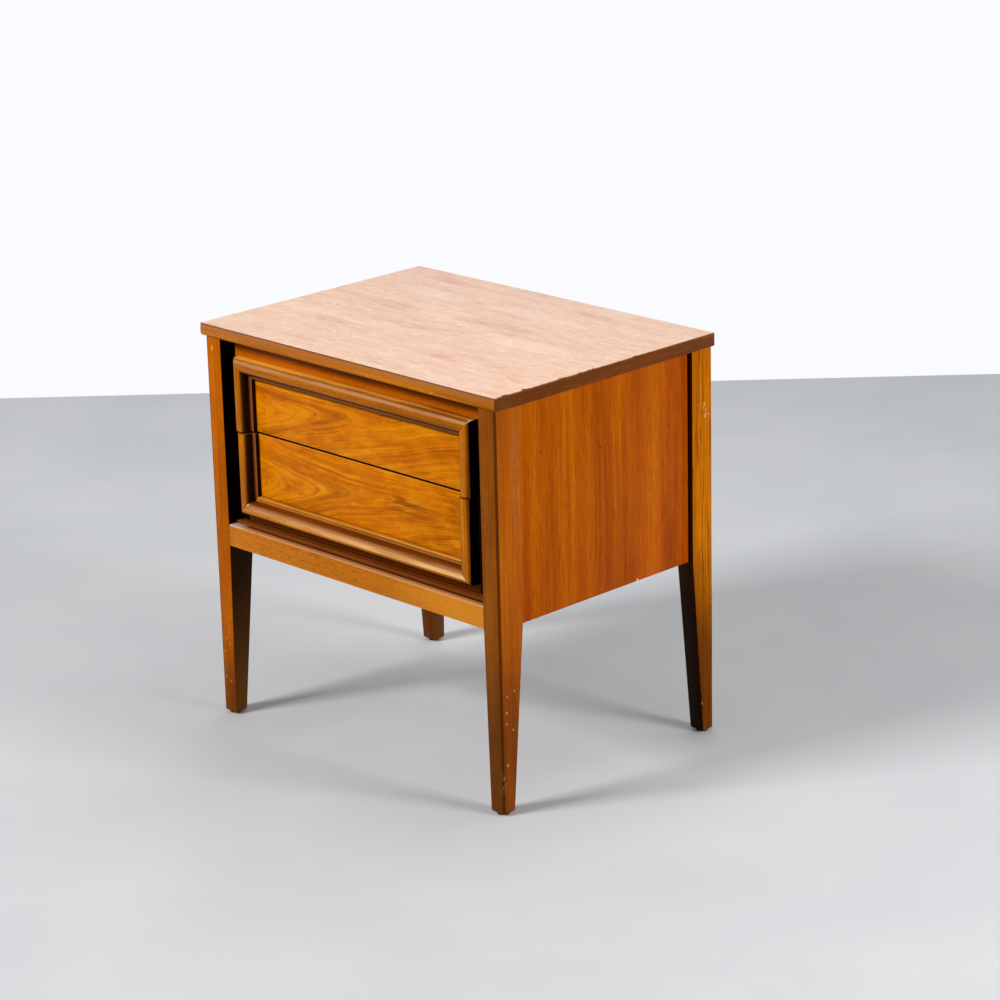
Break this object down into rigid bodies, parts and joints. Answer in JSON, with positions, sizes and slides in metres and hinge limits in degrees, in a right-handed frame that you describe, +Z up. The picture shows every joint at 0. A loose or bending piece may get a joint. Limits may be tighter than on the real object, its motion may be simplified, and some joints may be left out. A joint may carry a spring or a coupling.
{
  "type": "nightstand with drawers",
  "caption": "Small bedside case on tapered square legs, with a flat top and stacked drawers whose faces share one moulded picture-frame surround",
  "frame": {"origin": "on the floor, under the middle of the top", "axes": "+Z up, -Y towards the drawer fronts, +X to the right seen from the front"},
  "size_m": [0.559, 0.406, 0.559],
  "materials": {
    "top_core_board": "raw",
    "top_laminate": "satin laminate with a wood pattern",
    "dark_edging": "satin lacquer",
    "solid_walnut": "satin lacquer",
    "side_veneer": "satin lacquer",
    "back_plywood": "raw",
    "dust_plywood": "raw",
    "frame_wood": "raw",
    "zinc_steel": "bright zinc",
    "glide_steel": "black nickel",
    "front_walnut": "satin lacquer",
    "face_veneer": "satin lacquer",
    "moulding_walnut": "gloss lacquer",
    "drawer_wood": "thin varnish",
    "drawer_plywood": "raw"
  },
  "bodies": {
    "case": {"top_core": "top_core_board", "top_laminate": "top_laminate", "top_front_edging": "solid_walnut", "top_left_edging": "dark_edging", "top_right_edging": "dark_edging", "top_rear_edging": "dark_edging", "front_left_leg": "solid_walnut", "front_right_leg": "solid_walnut", "rear_left_leg": "solid_walnut", "rear_right_leg": "solid_walnut", "foot_glides": "glide_steel", "left_side_panel": "side_veneer", "right_side_panel": "side_veneer", "back_panel": "back_plywood", "front_bottom_rail": "solid_walnut", "rear_bottom_rail": "frame_wood", "dust_panel": "dust_plywood", "left_bottom_cleat": "frame_wood", "right_bottom_cleat": "frame_wood", "left_front_stile": "solid_walnut", "right_front_stile": "solid_walnut", "front_divider": "frame_wood", "rear_divider": "frame_wood", "left_web_runner": "frame_wood", "right_web_runner": "frame_wood", "upper_centre_guide": "frame_wood", "lower_centre_guide": "frame_wood", "front_stretcher": "frame_wood", "rear_stretcher": "frame_wood", "left_top_cleat": "frame_wood", "right_top_cleat": "frame_wood", "upper_drawer_stops": "frame_wood", "lower_drawer_stops": "frame_wood", "top_screws": "zinc_steel", "back_panel_nails": "zinc_steel"},
    "upper_drawer": {"upper_front_board": "front_walnut", "upper_face_panel": "face_veneer", "upper_top_moulding": "moulding_walnut", "upper_left_moulding": "moulding_walnut", "upper_right_moulding": "moulding_walnut", "upper_left_side": "drawer_wood", "upper_right_side": "drawer_wood", "upper_box_back": "drawer_wood", "upper_box_bottom": "drawer_plywood", "upper_left_cheek": "frame_wood", "upper_right_cheek": "frame_wood"},
    "lower_drawer": {"lower_front_board": "front_walnut", "lower_face_panel": "face_veneer", "lower_bottom_moulding": "moulding_walnut", "lower_left_moulding": "moulding_walnut", "lower_right_moulding": "moulding_walnut", "lower_left_side": "drawer_wood", "lower_right_side": "drawer_wood", "lower_box_back": "drawer_wood", "lower_box_bottom": "drawer_plywood", "lower_left_cheek": "frame_wood", "lower_right_cheek": "frame_wood"}
  },
  "joints": [
    {"name": "upper_drawer_slide", "type": "slide", "parent": "case", "child": "upper_drawer", "axis": [0, -1, 0], "range_m": [0, 0.28]},
    {"name": "lower_drawer_slide", "type": "slide", "parent": "case", "child": "lower_drawer", "axis": [0, -1, 0], "range_m": [0, 0.28]}
  ]
}
